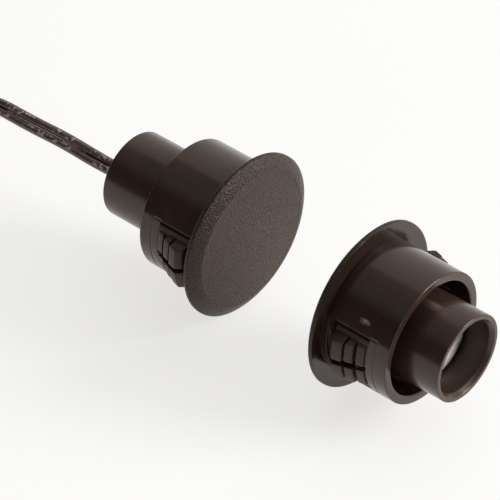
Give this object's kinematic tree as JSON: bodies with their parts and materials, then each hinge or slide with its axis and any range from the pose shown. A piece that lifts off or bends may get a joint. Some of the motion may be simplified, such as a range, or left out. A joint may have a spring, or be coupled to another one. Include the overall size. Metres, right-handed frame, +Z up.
{
  "type": "door contact sensor",
  "caption": "Recessed snap-in magnetic door contact: a wired reed switch half and a facing magnet half, each a round flange cap on a barrel with toothed spring catches.",
  "frame": {"origin": "on the surface that both flange rims stand on, below the middle of the pair", "axes": "+X along the common axis of the two halves, from the switch half to the magnet half; +Z up"},
  "size_m": [0.1532, 0.0443, 0.0316],
  "materials": {
    "collar_abs": "moulded dark brown ABS, spark-textured and satin on the flange's front and bevel, semi-gloss on the barrel",
    "catch_abs": "moulded dark brown ABS, satin",
    "tube_abs": "moulded dark brown ABS, semi-gloss with faint flow marks",
    "potting_resin": "dark poured epoxy",
    "reed_glass": "clear green-tinted sealing glass",
    "silicone": "translucent grey silicone",
    "reed_alloy": "tinned nickel-iron",
    "sleeve_plastic": "thin white sleeve",
    "solder": "bright solder",
    "copper_strand": "tinned copper strands",
    "lead_insulation": "reddish brown PVC with short pale printed dashes",
    "tie_nylon": "natural nylon",
    "magnet_metal": "light grey satin plating",
    "magnet_bond": "brown cured adhesive"
  },
  "bodies": {
    "switch_half": {"switch_collar": "collar_abs", "switch_tube": "tube_abs", "potting_compound": "potting_resin", "reed_glass": "reed_glass", "reed_buffer_sleeve": "silicone", "reed_lead_front": "reed_alloy", "reed_lead_rear": "reed_alloy", "lead_sleeve": "sleeve_plastic", "solder_joint_a": "solder", "solder_joint_b": "solder", "lead_core_a": "copper_strand", "lead_core_b": "copper_strand", "lead_tail_a": "lead_insulation", "lead_tail_b": "lead_insulation", "lead_wire_a": "lead_insulation", "lead_wire_b": "lead_insulation", "lead_coil": "lead_insulation", "coil_tie": "tie_nylon", "wire_end_a": "copper_strand", "wire_end_b": "copper_strand"},
    "magnet_half": {"magnet_collar": "collar_abs", "magnet_tube": "tube_abs", "magnet": "magnet_metal", "magnet_adhesive": "magnet_bond"},
    "reed_blade_front": {"reed_blade_front": "reed_alloy"},
    "reed_blade_rear": {"reed_blade_rear": "reed_alloy"},
    "switch_catch_front_upper": {"switch_catch_front_upper": "catch_abs"},
    "switch_catch_front_lower": {"switch_catch_front_lower": "catch_abs"},
    "switch_catch_back_upper": {"switch_catch_back_upper": "catch_abs"},
    "switch_catch_back_lower": {"switch_catch_back_lower": "catch_abs"},
    "magnet_catch_front_upper": {"magnet_catch_front_upper": "catch_abs"},
    "magnet_catch_front_lower": {"magnet_catch_front_lower": "catch_abs"},
    "magnet_catch_back_upper": {"magnet_catch_back_upper": "catch_abs"},
    "magnet_catch_back_lower": {"magnet_catch_back_lower": "catch_abs"}
  },
  "joints": [
    {"name": "magnet_travel", "type": "slide", "parent": "switch_half", "child": "magnet_half", "axis": [1, 0, 0], "range_m": [-0.021, 0.03]},
    {"name": "switch_catch_front_upper_flex", "type": "hinge", "parent": "switch_half", "child": "switch_catch_front_upper", "pos_m": [-0.0209, -0.00997, 0.01502], "axis": [0, -0.0785, 0.9969], "range_deg": [0, 18], "stiffness_Nm_per_rad": 0.25},
    {"name": "switch_catch_front_lower_flex", "type": "hinge", "parent": "switch_half", "child": "switch_catch_front_lower", "pos_m": [-0.0209, -0.00997, 0.01502], "axis": [0, -0.0785, 0.9969], "range_deg": [0, 18], "stiffness_Nm_per_rad": 0.25},
    {"name": "switch_catch_back_upper_flex", "type": "hinge", "parent": "switch_half", "child": "switch_catch_back_upper", "pos_m": [-0.0209, 0.00997, 0.01658], "axis": [0, 0.0785, -0.9969], "range_deg": [0, 18], "stiffness_Nm_per_rad": 0.25},
    {"name": "switch_catch_back_lower_flex", "type": "hinge", "parent": "switch_half", "child": "switch_catch_back_lower", "pos_m": [-0.0209, 0.00997, 0.01658], "axis": [0, 0.0785, -0.9969], "range_deg": [0, 18], "stiffness_Nm_per_rad": 0.25},
    {"name": "magnet_catch_front_upper_flex", "type": "hinge", "parent": "magnet_half", "child": "magnet_catch_front_upper", "pos_m": [0.026, -0.00997, 0.01502], "axis": [0, 0.0785, -0.9969], "range_deg": [0, 18], "stiffness_Nm_per_rad": 0.25},
    {"name": "magnet_catch_front_lower_flex", "type": "hinge", "parent": "magnet_half", "child": "magnet_catch_front_lower", "pos_m": [0.026, -0.00997, 0.01502], "axis": [0, 0.0785, -0.9969], "range_deg": [0, 18], "stiffness_Nm_per_rad": 0.25},
    {"name": "magnet_catch_back_upper_flex", "type": "hinge", "parent": "magnet_half", "child": "magnet_catch_back_upper", "pos_m": [0.026, 0.00997, 0.01658], "axis": [0, -0.0785, 0.9969], "range_deg": [0, 18], "stiffness_Nm_per_rad": 0.25},
    {"name": "magnet_catch_back_lower_flex", "type": "hinge", "parent": "magnet_half", "child": "magnet_catch_back_lower", "pos_m": [0.026, 0.00997, 0.01658], "axis": [0, -0.0785, 0.9969], "range_deg": [0, 18], "stiffness_Nm_per_rad": 0.25},
    {"name": "reed_blade_front_close", "type": "hinge", "parent": "switch_half", "child": "reed_blade_front", "pos_m": [-0.0169, -0.00125, 0.01438], "axis": [0, -1, 0], "range_deg": [0, 0.75], "stiffness_Nm_per_rad": 0.02},
    {"name": "reed_blade_rear_close", "type": "hinge", "parent": "switch_half", "child": "reed_blade_rear", "pos_m": [-0.027, -0.00125, 0.01402], "axis": [0, -1, 0], "range_deg": [0, 0.75]}
  ],
  "couplings": [
    {"joint": "reed_blade_rear_close", "follows": "reed_blade_front_close", "ratio": 1}
  ]
}
